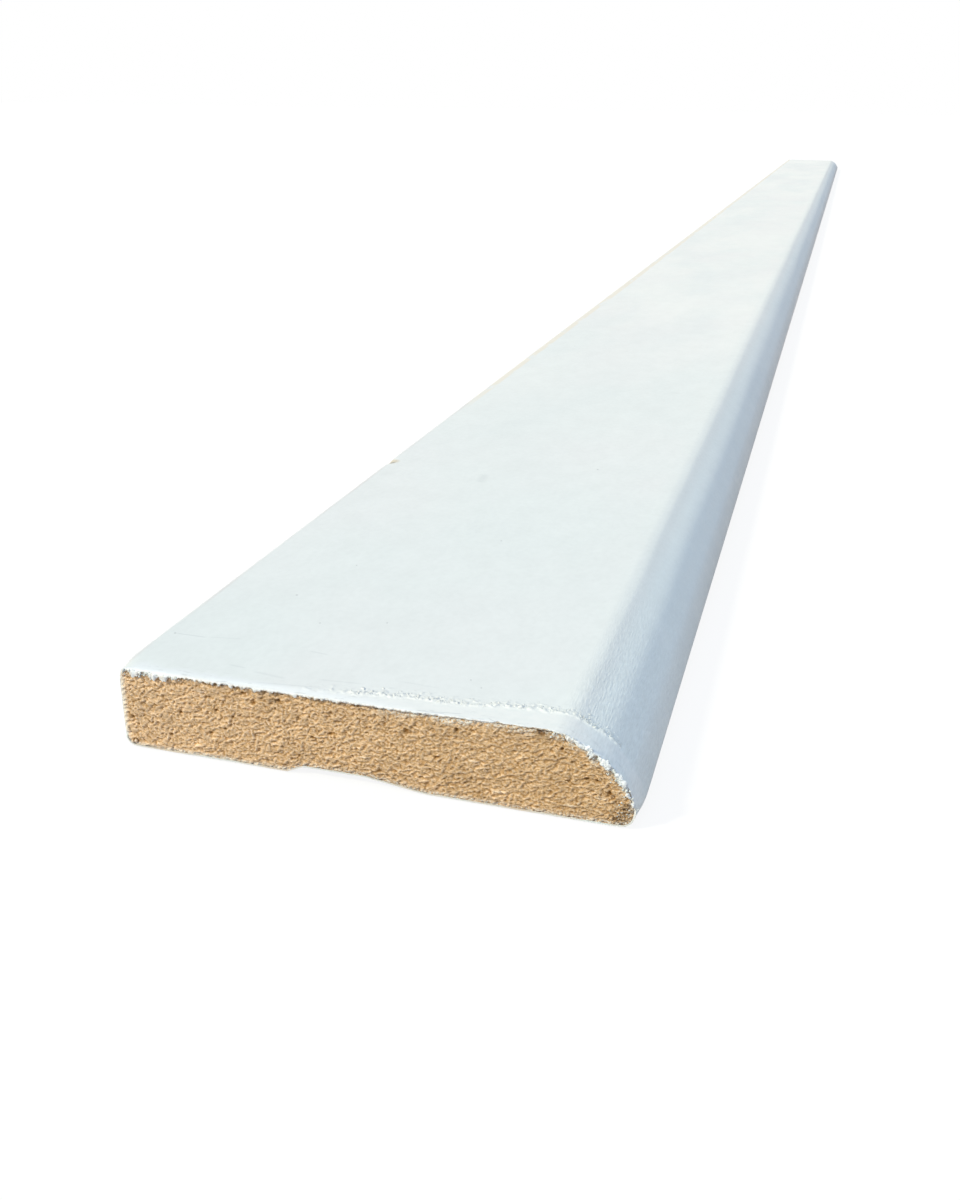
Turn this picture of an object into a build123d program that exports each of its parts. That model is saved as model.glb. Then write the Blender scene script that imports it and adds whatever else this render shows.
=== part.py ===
from build123d import *
from math import cos, radians, sin, sqrt
import os

# A primed MDF skirting board, lying on its back with its face up.
# The length runs along Y. The square edge, which meets the floor once the board is on a wall,
# is at -X, and the rounded top edge is at +X. The back lies in the plane Z = 0.
# The origin is on the back plane, midway along the board and midway between its two edges.

# The board, in millimetres.
LENGTH = 2400.0
BOARD_WIDTH = 95.0
THICKNESS = 16.0

# The rounded top edge. One large arc leaves the face at the crest angle, in degrees, and comes
# down to the heel, a small radius where it meets the back. The crest itself is eased.
NOSE_RADIUS = 21.0
CREST_ANGLE = 17.0
CREST_RADIUS = 8.0
HEEL_RADIUS = 2.5

# The two corners of the square edge.
FACE_ARRIS_RADIUS = 0.8
BACK_ARRIS_RADIUS = 1.8

# The relief groove along the back. It is steep towards the square edge and runs out in a long
# gentle slope towards the rounded edge.
GROOVE_DEPTH = 1.4
GROOVE_SETBACK = 32.3
GROOVE_STEEP_RUN = 3.2
GROOVE_BED_WIDTH = 11.7
GROOVE_SLOPE_RUN = 10.8

square_edge_x = -BOARD_WIDTH / 2
round_edge_x = BOARD_WIDTH / 2

# The nose arc's centre. Its height follows from the crest angle. Across the board it is set so
# that the heel radius, which lies inside the arc and touches it, just reaches the full width.
nose_centre_z = THICKNESS - NOSE_RADIUS * cos(radians(CREST_ANGLE))
heel_offset = sqrt((NOSE_RADIUS - HEEL_RADIUS) ** 2 - (HEEL_RADIUS - nose_centre_z) ** 2)
nose_centre_x = round_edge_x - HEEL_RADIUS - heel_offset
crest_x = nose_centre_x + NOSE_RADIUS * sin(radians(CREST_ANGLE))
nose_foot_x = nose_centre_x + sqrt(NOSE_RADIUS**2 - nose_centre_z**2)

groove_start_x = square_edge_x + GROOVE_SETBACK
groove_bed_start_x = groove_start_x + GROOVE_STEEP_RUN
groove_bed_end_x = groove_bed_start_x + GROOVE_BED_WIDTH
groove_end_x = groove_bed_end_x + GROOVE_SLOPE_RUN

# The section is drawn on the board's far end and extruded towards the near end. Its own X runs
# along the board's X, and its own Y runs up through the thickness.
section_plane = Plane(origin=(0, LENGTH / 2, 0), x_dir=(1, 0, 0), z_dir=(0, -1, 0))

with BuildPart() as skirting_board:
    with BuildSketch(section_plane) as section:
        with BuildLine() as outline:
            back = Line((nose_foot_x, 0), (square_edge_x, 0))
            square_edge = Line(back @ 1, (square_edge_x, THICKNESS))
            face = Line(square_edge @ 1, (crest_x, THICKNESS))
            nose = RadiusArc(face @ 1, back @ 0, NOSE_RADIUS)
        make_face()

        heel = section.vertices().group_by(Axis.Y)[0].sort_by(Axis.X)[-1]
        fillet(heel, radius=HEEL_RADIUS)
        crest = section.vertices().group_by(Axis.Y)[-1].sort_by(Axis.X)[-1]
        fillet(crest, radius=CREST_RADIUS)
        face_arris = section.vertices().group_by(Axis.Y)[-1].sort_by(Axis.X)[0]
        fillet(face_arris, radius=FACE_ARRIS_RADIUS)
        back_arris = section.vertices().group_by(Axis.Y)[0].sort_by(Axis.X)[0]
        fillet(back_arris, radius=BACK_ARRIS_RADIUS)

        with BuildLine() as groove_outline:
            Polyline(
                (groove_start_x, 0),
                (groove_bed_start_x, GROOVE_DEPTH),
                (groove_bed_end_x, GROOVE_DEPTH),
                (groove_end_x, 0),
                close=True,
            )
        make_face(mode=Mode.SUBTRACT)
    extrude(amount=LENGTH)

skirting_board.part.label = "skirting_board"

os.makedirs("parts", exist_ok=True)
export_step(skirting_board.part, "parts/skirting_board.step")
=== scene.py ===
import math

import bpy
import numpy as np
from mathutils import Matrix, Vector


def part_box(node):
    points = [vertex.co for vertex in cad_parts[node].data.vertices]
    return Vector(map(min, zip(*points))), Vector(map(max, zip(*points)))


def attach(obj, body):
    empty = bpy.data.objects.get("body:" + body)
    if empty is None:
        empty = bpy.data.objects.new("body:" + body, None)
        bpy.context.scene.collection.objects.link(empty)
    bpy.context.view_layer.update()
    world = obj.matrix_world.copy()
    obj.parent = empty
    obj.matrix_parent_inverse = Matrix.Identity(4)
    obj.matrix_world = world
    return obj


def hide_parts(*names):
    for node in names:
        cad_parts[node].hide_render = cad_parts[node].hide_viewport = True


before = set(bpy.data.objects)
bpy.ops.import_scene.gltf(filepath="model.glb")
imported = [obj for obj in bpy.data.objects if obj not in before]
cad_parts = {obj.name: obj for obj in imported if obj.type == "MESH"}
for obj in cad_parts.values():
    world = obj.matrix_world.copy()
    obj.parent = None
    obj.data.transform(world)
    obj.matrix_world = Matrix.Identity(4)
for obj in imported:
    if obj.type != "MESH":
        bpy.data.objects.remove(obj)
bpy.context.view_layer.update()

# The skirting board lies on its back along Y, with its sawn near end at -Y, its square edge at
# -X and its rounded edge at +X. Every size below is in millimetres unless it says otherwise, and
# a mesh is turned into metres when it is made.
METRE = 0.001
NODE = "skirting_board"

node_low, node_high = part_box(NODE)
HALF_WIDTH = (node_high.x - node_low.x) / 2 / METRE
THICKNESS = (node_high.z - node_low.z) / METRE
NEAR_Y = node_low.y / METRE
FAR_Y = node_high.y / METRE
LENGTH = FAR_Y - NEAR_Y

# The section, as in the part's source.
NOSE_RADIUS = 21.0
CREST_ANGLE = math.radians(17.0)
CREST_RADIUS = 8.0
HEEL_RADIUS = 2.5
FACE_ARRIS_RADIUS = 0.8
BACK_ARRIS_RADIUS = 1.8
GROOVE_DEPTH = 1.4
GROOVE_SETBACK = 32.3
GROOVE_STEEP_RUN = 3.2
GROOVE_BED_WIDTH = 11.7
GROOVE_SLOPE_RUN = 10.8

# The moulder's knives leave the nose in faint flats instead of one clean arc.
FLAT_DEPTH = 0.1
FLAT_FIRST = math.radians(22.0)
FLAT_PITCH = math.radians(24.0)
FLAT_LAST = math.radians(58.0)

# The coat of primer.
COAT_THICKNESS = 0.18
COAT_FOLD = 0.3

# Where the end cut crushed the heel of the nose.
BRUISE_DEPTH = 0.7
BRUISE_HEIGHT = 1.6
BRUISE_SPREAD = 3.0
BRUISE_REACH = 4.5
BRUISE_LIFT = 0.35

# The names of the mesh attributes that each material reads.
ATTRIBUTES = {
    "white_primer": ("band", "crust", "grain", "torn", "flake_light"),
    "raw_mdf": ("cavity", "tone", "stain", "frost", "seam"),
}


def lattice(ix, iy, iz, seed):
    """A repeatable value from -1 to 1 for each whole-number place."""
    h = (ix * 374761393 + iy * 668265263 + iz * 1440662683 + seed * 2147483647) & 0xFFFFFFFF
    h = ((h ^ (h >> 13)) * 1274126177) & 0xFFFFFFFF
    h = ((h ^ (h >> 16)) * 2246822519) & 0xFFFFFFFF
    return (h ^ (h >> 15)) / 0x7FFFFFFF - 1.0


def smooth_noise(x, y, z, seed):
    """Value noise with features about one unit across, from -1 to 1."""
    x, y, z = np.broadcast_arrays(x, y, z)
    cell = [np.floor(a).astype(np.int64) for a in (x, y, z)]
    part = [a - c for a, c in zip((x, y, z), cell)]
    ease = [p * p * (3 - 2 * p) for p in part]
    total = 0.0
    for dx in (0, 1):
        wx = ease[0] if dx else 1 - ease[0]
        for dy in (0, 1):
            wy = ease[1] if dy else 1 - ease[1]
            for dz in (0, 1):
                wz = ease[2] if dz else 1 - ease[2]
                total = total + wx * wy * wz * lattice(cell[0] + dx, cell[1] + dy, cell[2] + dz, seed)
    return total


def rough_noise(x, y, z, seed, octaves=3):
    """Several octaves of smooth_noise, each half the size and half the strength of the last."""
    total, strength, norm = 0.0, 1.0, 0.0
    for octave in range(octaves):
        scale = 2.0**octave
        total = total + strength * smooth_noise(x * scale, y * scale, z * scale, seed + octave)
        norm += strength
        strength *= 0.5
    return total / norm


def ramp(value, start, end):
    """0 before start, 1 after end, eased between."""
    t = np.clip((value - start) / (end - start), 0.0, 1.0)
    return t * t * (3 - 2 * t)


def arc(centre_x, centre_z, radius, start, end, step):
    """Points of an arc, by angle from +Z towards +X, each with its outward normal."""
    count = max(2, int(math.ceil(abs(end - start) * radius / step)) + 1)
    angle = np.linspace(start, end, count)
    normal = np.stack([np.sin(angle), np.cos(angle)], axis=1)
    return np.array([centre_x, centre_z]) + radius * normal, normal


def straight(start, end, step):
    """Points of a straight stretch, with the normal on the left of the direction of travel."""
    start, end = np.array(start, float), np.array(end, float)
    run = end - start
    size = np.linalg.norm(run)
    count = max(2, int(math.ceil(size / step)) + 1)
    t = np.linspace(0, 1, count)[:, None]
    normal = np.array([-run[1], run[0]]) / size
    return start + t * run, np.repeat(normal[None], count, axis=0)


# The nose, worked out as in the part's source.
NOSE_Z = THICKNESS - NOSE_RADIUS * math.cos(CREST_ANGLE)
HEEL_OFFSET = math.sqrt((NOSE_RADIUS - HEEL_RADIUS) ** 2 - (HEEL_RADIUS - NOSE_Z) ** 2)
NOSE_X = HALF_WIDTH - HEEL_RADIUS - HEEL_OFFSET
CREST_Z = THICKNESS - CREST_RADIUS
CREST_OFFSET = math.sqrt((NOSE_RADIUS - CREST_RADIUS) ** 2 - (CREST_Z - NOSE_Z) ** 2)
CREST_X = NOSE_X + CREST_OFFSET
CREST_END = math.atan2(CREST_OFFSET, CREST_Z - NOSE_Z)
HEEL_START = math.atan2(HEEL_OFFSET, HEEL_RADIUS - NOSE_Z)
GROOVE_START_X = -HALF_WIDTH + GROOVE_SETBACK
GROOVE_BED_START_X = GROOVE_START_X + GROOVE_STEEP_RUN
GROOVE_BED_END_X = GROOVE_BED_START_X + GROOVE_BED_WIDTH
GROOVE_END_X = GROOVE_BED_END_X + GROOVE_SLOPE_RUN


def top_chain(step, coarse):
    """The section from the square edge's lowest point, up it, over the face and down to the
    heel's outermost point. coarse is the step on the square edge."""
    left = -HALF_WIDTH
    return [
        straight((left, BACK_ARRIS_RADIUS), (left, THICKNESS - FACE_ARRIS_RADIUS), coarse),
        arc(left + FACE_ARRIS_RADIUS, THICKNESS - FACE_ARRIS_RADIUS, FACE_ARRIS_RADIUS,
            -math.pi / 2, 0, step / 2),
        straight((left + FACE_ARRIS_RADIUS, THICKNESS), (CREST_X, THICKNESS), step),
        arc(CREST_X, CREST_Z, CREST_RADIUS, 0, CREST_END, step),
        arc(NOSE_X, NOSE_Z, NOSE_RADIUS, CREST_END, HEEL_START, step),
        arc(HALF_WIDTH - HEEL_RADIUS, HEEL_RADIUS, HEEL_RADIUS, HEEL_START, math.pi / 2, step),
    ]


def bottom_chain(step, coarse):
    """The rest of the section, from the heel's outermost point along the back to the square
    edge's lowest point. coarse is the step on the flat lands."""
    corners = [
        (HALF_WIDTH - HEEL_RADIUS, 0), (GROOVE_END_X, 0), (GROOVE_BED_END_X, GROOVE_DEPTH),
        (GROOVE_BED_START_X, GROOVE_DEPTH), (GROOVE_START_X, 0), (BACK_ARRIS_RADIUS - HALF_WIDTH, 0),
    ]
    return [
        arc(HALF_WIDTH - HEEL_RADIUS, HEEL_RADIUS, HEEL_RADIUS, math.pi / 2, math.pi, step),
        *[straight(start, end, coarse) for start, end in zip(corners, corners[1:])],
        arc(BACK_ARRIS_RADIUS - HALF_WIDTH, BACK_ARRIS_RADIUS, BACK_ARRIS_RADIUS,
            math.pi, math.pi * 1.5, step),
    ]


def joined(chain):
    """A chain's points and normals as two arrays, without the repeated points at its joints."""
    points = [chain[0][0]] + [p[1:] for p, _ in chain[1:]]
    normals = [chain[0][1]] + [n[1:] for _, n in chain[1:]]
    return np.concatenate(points), np.concatenate(normals)


def nose_flats(points, along):
    """How far the knives' flats move the surface outwards, for points (x, z) at lengths along."""
    angle = np.arctan2(points[..., 0] - NOSE_X, points[..., 1] - NOSE_Z)
    wander = math.radians(2.5) * smooth_noise(along / 38.0, 0.0, 0.0, 71)
    swing = np.sin((angle - FLAT_FIRST + wander) / FLAT_PITCH * 2 * math.pi)
    inside = ramp(angle, FLAT_FIRST - 0.08, FLAT_FIRST + 0.02) * (1 - ramp(angle, FLAT_LAST - 0.1, FLAT_LAST))
    kept = ramp(along, 3.0, 10.0) - 0.6 * ramp(along, 120.0, 480.0)
    return -FLAT_DEPTH * swing * inside * kept


def bruise(x, z, depth_in):
    """How far the crushed heel is pressed in, at a distance of depth_in back from the near cut."""
    across = ramp(x, HALF_WIDTH - 5.0, HALF_WIDTH - 1.0)
    height = np.exp(-(((z - BRUISE_HEIGHT) / BRUISE_SPREAD) ** 2))
    return BRUISE_DEPTH * across * height * np.exp(-((depth_in / BRUISE_REACH) ** 2))


FACE_CORNER_WEAR, FACE_CORNER_REACH = 0.45, 1.7
BACK_CORNER_WEAR, BACK_CORNER_REACH = 0.4, 2.2
CORNER_WEAR_LENGTH = 3.5


def corner_wear(x, z, depth_in):
    """How far the near corners of the square edge are rubbed inwards, along X and along Z."""
    face = np.exp(-((np.hypot(x + HALF_WIDTH, z - THICKNESS) / FACE_CORNER_REACH) ** 2))
    back = np.exp(-((np.hypot(x + HALF_WIDTH, z) / BACK_CORNER_REACH) ** 2))
    kept = np.exp(-((depth_in / CORNER_WEAR_LENGTH) ** 2))
    face, back = FACE_CORNER_WEAR * face * kept, BACK_CORNER_WEAR * back * kept
    return face + back, 0.2 * back - face


def worn(points, normals, out, depth_in):
    """x and z of the section's points, moved outwards by out, with the near end's wear."""
    pressed = bruise(points[:, 0], points[:, 1], depth_in)
    rubbed_x, rubbed_z = corner_wear(points[:, 0], points[:, 1], depth_in)
    x = points[:, 0] + out * normals[:, 0] - pressed + rubbed_x
    z = points[:, 1] + out * normals[:, 1] + BRUISE_LIFT * pressed + rubbed_z
    return x, z


def grid_faces(rows, columns, closed=False, flip=False):
    """Quads of a grid whose vertices run along its columns first."""
    r = np.arange(rows - 1)[:, None]
    c = np.arange(columns if closed else columns - 1)[None]
    after = (c + 1) % columns
    a, b = r * columns + c, r * columns + after
    d, e = (r + 1) * columns + c, (r + 1) * columns + after
    order = (a, d, e, b) if flip else (a, b, e, d)
    quads = [np.broadcast_to(o, (rows - 1, c.shape[1])) for o in order]
    return np.stack(quads, axis=-1).reshape(-1, 4)


def from_table(table, across):
    """A table's second value at distances across the board, read between its rows."""
    return np.interp(across, *zip(*table))


def add_object(name, data):
    """An object in the scene that holds a mesh, a lamp or a camera."""
    made = bpy.data.objects.new(name, data)
    bpy.context.scene.collection.objects.link(made)
    return made


def make_piece(name, vertices, faces, material, slot, attributes, sharp_angle=None):
    """A mesh piece from millimetres, riding on the board."""
    mesh = bpy.data.meshes.new(name)
    vertices = np.asarray(vertices, float) * METRE
    mesh.from_pydata(vertices.tolist(), [], faces if isinstance(faces, list) else faces.tolist())
    for key in ATTRIBUTES[slot]:
        values = attributes.get(key, np.zeros(len(vertices)))
        layer = mesh.attributes.new(key, "FLOAT", "POINT")
        layer.data.foreach_set("value", np.asarray(values, np.float32).ravel())
    mesh.polygons.foreach_set("use_smooth", np.ones(len(mesh.polygons), bool))
    mesh.validate()
    mesh.update()
    if sharp_angle is not None:
        mesh.set_sharp_from_angle(angle=math.radians(sharp_angle))
    mesh.materials.append(material)
    piece = add_object(name, mesh)
    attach(piece, "root")
    return piece


# The fibre bundles of the sawn end.
RELIEF_CELL = 0.08
RELIEF_MARGIN = 1.0
BUNDLES_PER_MM2 = 9.0
BUNDLE_HALF_LENGTH = 0.38
BUNDLE_HALF_WIDTH = 0.21
BUNDLE_FINER = 0.7
BUNDLE_FINER_FROM = 55.0
SHORTEST_HALF, LONGEST_HALF = 0.17, 1.3
STRANDS_PER_MM2 = 2.2

# How strong the relief is, how far the cut's own edge is rounded, how deep the seam under the coat
# is, and the rim's rows: their distances back from the cut, and how far the deep ones draw in.
RELIEF_GAIN = 1.28
EDGE_ROUND = 0.35
SEAM_HOLLOW = 0.3
RIM_STEPS = (0.2, 0.45, 0.8, 1.3, 2.0, 3.2, 5.0)
RIM_DRAWN_IN = 0.45


def fibre_relief(seed):
    """Height and tone maps of torn fibre bundles over the section's box, in steps of
    RELIEF_CELL. Bundles are laid over one another, and the highest one shows."""
    picks = np.random.default_rng(seed)
    wide = 2 * (HALF_WIDTH + RELIEF_MARGIN)
    high = THICKNESS + 2 * RELIEF_MARGIN
    columns, rows = int(wide / RELIEF_CELL) + 1, int(high / RELIEF_CELL) + 1
    height = np.full((rows, columns), -0.05)
    tone = np.zeros((rows, columns))
    bundles = int(wide * high * BUNDLES_PER_MM2)
    strands = int(wide * high * STRANDS_PER_MM2)
    for k in range(bundles + strands):
        cx, cz = picks.uniform(0, wide), picks.uniform(0, high)
        finer = 1 + (BUNDLE_FINER - 1) * min(1.0, cx / BUNDLE_FINER_FROM)
        half = finer * BUNDLE_HALF_LENGTH * math.exp(picks.normal(0, 0.45))
        half = min(max(half, SHORTEST_HALF), LONGEST_HALF)
        thick = finer * BUNDLE_HALF_WIDTH * math.exp(picks.normal(0, 0.25)) * (0.75 + 0.25 * half)
        # Near the square edge and the face the bundles lie every way. Elsewhere they are pressed flat.
        loose = (1 - cx / wide) ** 1.3 * (0.5 + 0.5 * cz / high)
        lean = math.radians(picks.normal(4 + 14 * loose, 21 + 29 * loose))
        base = picks.uniform(-0.03, 0.15) + 0.02 * half
        crown = 0.75 * thick
        if k >= bundles:
            # The last ones are thin single strands, lying over the bundles.
            half, thick = half * 1.2, thick * 0.4
            base, crown = base + 0.07, 0.9 * thick
        bend = picks.normal(0, 0.12)
        tilt = picks.normal(0, 0.06)
        shade = picks.normal(0, 1) + (1.0 if k >= bundles else 0.0)
        reach = half + thick
        c0, c1 = int(max(0, (cx - reach) / RELIEF_CELL)), int(min(columns, (cx + reach) / RELIEF_CELL + 2))
        r0, r1 = int(max(0, (cz - reach) / RELIEF_CELL)), int(min(rows, (cz + reach) / RELIEF_CELL + 2))
        if c1 <= c0 or r1 <= r0:
            continue
        gx = np.arange(c0, c1)[None] * RELIEF_CELL - cx
        gz = np.arange(r0, r1)[:, None] * RELIEF_CELL - cz
        u = gx * math.cos(lean) + gz * math.sin(lean)
        v = gz * math.cos(lean) - gx * math.sin(lean) - bend * u * u
        inside = 1 - (u / half) ** 2 - (v / thick) ** 2
        lift = base + tilt * u + crown * np.sqrt(np.maximum(inside, 0))
        shown = (inside > 0) & (lift > height[r0:r1, c0:c1])
        height[r0:r1, c0:c1][shown] = lift[shown]
        tone[r0:r1, c0:c1][shown] = shade
    gx = np.arange(columns)[None] * RELIEF_CELL
    gz = np.arange(rows)[:, None] * RELIEF_CELL
    height = height + 0.09 * smooth_noise(gx / 0.8, gz / 0.5, 0.0, seed + 21)
    height = height + 0.05 * smooth_noise(gx / 0.34, gz / 0.26, 0.0, seed + 22)
    return height, tone


def softened(field, passes):
    """A field blurred a little, by averaging each cell with its neighbours."""
    for _ in range(passes):
        padded = np.pad(field, 1, mode="edge")
        sides = padded[:-2, 1:-1] + padded[2:, 1:-1] + padded[1:-1, :-2] + padded[1:-1, 2:]
        corners = padded[:-2, :-2] + padded[:-2, 2:] + padded[2:, :-2] + padded[2:, 2:]
        field = (4 * field + 2 * sides + corners) / 16
    return field


def sampled(field, x, z):
    """A relief map's value at places (x, z) of the section, between its cells."""
    column = np.clip((x + HALF_WIDTH + RELIEF_MARGIN) / RELIEF_CELL, 0, field.shape[1] - 1.001)
    row = np.clip((z + RELIEF_MARGIN) / RELIEF_CELL, 0, field.shape[0] - 1.001)
    c, r = column.astype(int), row.astype(int)
    fc, fr = column - c, row - r
    low = field[r, c] * (1 - fc) + field[r, c + 1] * fc
    high = field[r + 1, c] * (1 - fc) + field[r + 1, c + 1] * fc
    return low * (1 - fr) + high * fr


# Marks on the near end, each by its distance from the square edge and its height above the back.
# A pit also has its radius. A stain has its reach across and up. A sliver is a pale fibre lying
# bare, with its half length, half thickness and lean.
PITS = (
    (2.1, 6.0, 0.4), (18.9, 9.9, 0.35), (24.6, 14.2, 0.35), (26.5, 12.6, 0.35), (31.2, 13.7, 0.42),
    (78.0, 15.1, 0.5), (37.4, 7.6, 0.3), (40.8, 8.8, 0.3), (54.7, 11.6, 0.45), (59.9, 7.5, 0.32),
    (63.5, 13.4, 0.3), (81.6, 12.9, 0.3), (85.9, 8.0, 0.4), (87.7, 7.8, 0.32), (89.6, 5.8, 0.35),
    (90.4, 5.2, 0.35), (34.6, 3.4, 0.25), (9.6, 3.5, 0.25), (17.6, 5.2, 0.3), (22.2, 9.0, 0.22),
    (12.0, 8.4, 0.28),
)
STAINS = (
    (30.4, 13.7, 1.2, 0.5), (1.0, 3.6, 0.35, 0.6), (78.2, 15.2, 1.4, 0.75), (73.5, 15.2, 1.2, 0.25),
    (93.3, 3.3, 1.3, 2.0), (92.0, 1.2, 2.2, 1.1), (3.6, 2.0, 0.9, 0.22),
)
SLIVERS = (
    (71.3, 2.8, 1.3, 0.17, 0.0), (83.3, 2.5, 1.2, 0.18, 0.03), (88.4, 4.6, 1.3, 0.14, 0.02),
    (16.5, 13.2, 0.9, 0.15, -0.2), (47.0, 5.3, 1.0, 0.13, 0.05), (66.5, 7.9, 1.1, 0.13, -0.05),
)
# How far each kind of mark goes in or stands out, and how much darker or lighter it is. A pit's darkening is
# painted shade in its hollow.
PIT_DEPTH, PIT_SHADE = 0.45, 0.22
SLIVER_LIFT, SLIVER_SHADE = 0.24, 0.3
# A small knob with a hollow ring round it, with painted light on the knob and painted shade in the ring.
KNOB_ACROSS, KNOB_UP, KNOB_RADIUS = 1.96, 1.0, 0.3
KNOB_LIFT, KNOB_RING, KNOB_SHADE = 0.25, 0.3, 0.3

# The seam under the coat, dark partly as painted shadow under the coat's lip, and the pale fuzz of torn
# primer there: distance from the square edge, and the strength, or how far down the seam reaches.
SEAM_STRENGTH = ((1.5, 0.0), (3.0, 0.45), (12.0, 0.7), (20.0, 1.0), (60.0, 1.0), (66.0, 0.6), (95.0, 0.45))
SEAM_DEPTH = ((1.5, 0.48), (12.0, 0.55), (22.0, 0.85), (30.0, 1.1), (48.0, 1.0), (56.0, 0.7), (66.0, 0.5))
FUZZ_STRENGTH = ((46.0, 0.0), (52.0, 0.7), (60.0, 1.1), (66.0, 1.1), (67.5, 0.6), (76.0, 0.8), (77.2, 0.1),
                 (79.2, 0.1), (80.5, 0.9), (90.0, 0.5))


def section_end(step_x, step_z, inset):
    """The grid that fills the section, inset by the coat: x and z of each vertex, and its
    distance in from the outline and from the face and nose."""
    top, top_normals = joined(top_chain(step_x, step_x))
    low, low_normals = joined(bottom_chain(step_x, step_x))
    top, low = top - inset * top_normals, (low - inset * low_normals)[::-1]
    rise = top[:, 0] > top[0, 0] + 1e-6
    first = int(np.argmax(rise)) - 1
    top_x, top_z = top[first:, 0], top[first:, 1]
    slope = top_normals[first:, 1]
    low_x, low_z = low[:, 0], low[:, 1]
    curved = low_x < BACK_ARRIS_RADIUS - HALF_WIDTH
    xs = np.unique(np.round(np.concatenate([top_x, low_x[curved]]), 4))
    keep = np.concatenate([[True], np.diff(xs) > 0.012])
    xs = xs[keep]
    xs[-1] = top_x[-1]
    upper = np.interp(xs, top_x, top_z)
    lower = np.interp(xs, low_x, low_z)
    lean = np.interp(xs, top_x, slope)
    rows = int(THICKNESS / step_z) + 1
    v = np.linspace(0, 1, rows)[:, None]
    x = np.repeat(xs[None], rows, axis=0)
    z = lower + (upper - lower) * v
    from_top = (upper - z) * np.maximum(lean, 0.12)
    from_left = x - xs[0]
    from_edge = np.minimum(np.minimum(from_top, z - lower), from_left)
    return x, z, np.maximum(from_edge, 0), from_top


def near_marks(x, z, depth, cavity, seed):
    """The near end's depth and cavity with its pits, slivers and knob, and its stains."""
    across = x + HALF_WIDTH
    uneven = 1.25 + 0.5 * smooth_noise(x / 0.4, z / 0.4, 0.0, seed + 15)
    for place, up, radius in PITS:
        away = np.hypot((across - place) * 0.75, z - up) / radius * uneven
        hollow = np.exp(-(away**2))
        depth, cavity = depth + PIT_DEPTH * hollow, cavity - PIT_SHADE * hollow
    for place, up, half, thick, lean in SLIVERS:
        u = (across - place) * math.cos(lean) + (z - up) * math.sin(lean)
        w = (z - up) * math.cos(lean) - (across - place) * math.sin(lean)
        raised = np.sqrt(np.maximum(1 - (u / half) ** 2 - (w / thick) ** 2, 0))
        depth, cavity = depth - SLIVER_LIFT * raised, cavity + SLIVER_SHADE * raised
    away = np.hypot(across - KNOB_ACROSS, z - KNOB_UP) / KNOB_RADIUS
    knob = np.exp(-(away**2))
    ring = np.exp(-(((away - 1.6) / 0.5) ** 2)) * ramp(smooth_noise(x / 0.5, z / 0.5, 0.0, 19), -0.7, 0.3)
    depth = depth - KNOB_LIFT * knob + KNOB_RING * ring
    cavity = cavity + KNOB_SHADE * (knob - ring)
    stain = np.zeros_like(x)
    ragged = 0.35 * rough_noise(x * 1.4, z * 1.4, 0, seed + 9)
    for place, up, reach, tall in STAINS:
        away = np.hypot((across - place) / reach, (z - up) / tall)
        stain = np.maximum(stain, 1 - ramp(away + ragged, 0.5, 1.3))
    return depth, cavity, stain


def under_coat(x, z, from_edge, from_top, seed, marked):
    """The seam that has opened under the coat, darkened there with painted shadow under its lip, and the pale
    primer dust by the outline.
    """
    across = x + HALF_WIDTH
    below_coat = from_top - (hang_at(across) if marked else 0.15)
    broken = rough_noise(x / 1.5, z / 1.1, 0.0, seed + 13)
    broken = broken + 0.5 * smooth_noise(x / 0.35, z / 0.3, 0.0, seed + 17)
    deep = from_table(SEAM_DEPTH, across)
    seam = (1 - ramp(below_coat, 0.35 * deep, deep)) * ramp(broken, -0.4, 0.12)
    seam = seam * from_table(SEAM_STRENGTH, across)
    frost = 0.85 * (1 - ramp(from_edge, 0.1, 0.9))
    if marked:
        reach = 1 + 0.6 * rough_noise(x / 1.3, 0.0, 0.0, seed + 25)
        fuzz = from_table(FUZZ_STRENGTH, across) * (1 - ramp(below_coat, 0.5 * reach, 1.7 * reach))
        frost = np.maximum(frost, fuzz)
    return seam, frost


def rim_rows(ring, pressed, end_y, facing):
    """Rows of vertices that run back from a sawn end's outline, under the coat."""
    rows = []
    for step in RIM_STEPS:
        row = ring.copy()
        row[:, 1] = end_y - facing * step
        row[:, 0] += pressed * (1 - math.exp(-((step / BRUISE_REACH) ** 2)))
        # Deeper rows draw in, so that they stay under the coat where it dips.
        drawn_in = RIM_DRAWN_IN * ramp(step, 0.3, 2.0)
        row[:, 0] *= 1 - drawn_in / HALF_WIDTH
        row[:, 2] += (THICKNESS / 2 - row[:, 2]) * 2 * drawn_in / THICKNESS
        rows.append(row)
    return rows


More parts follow.
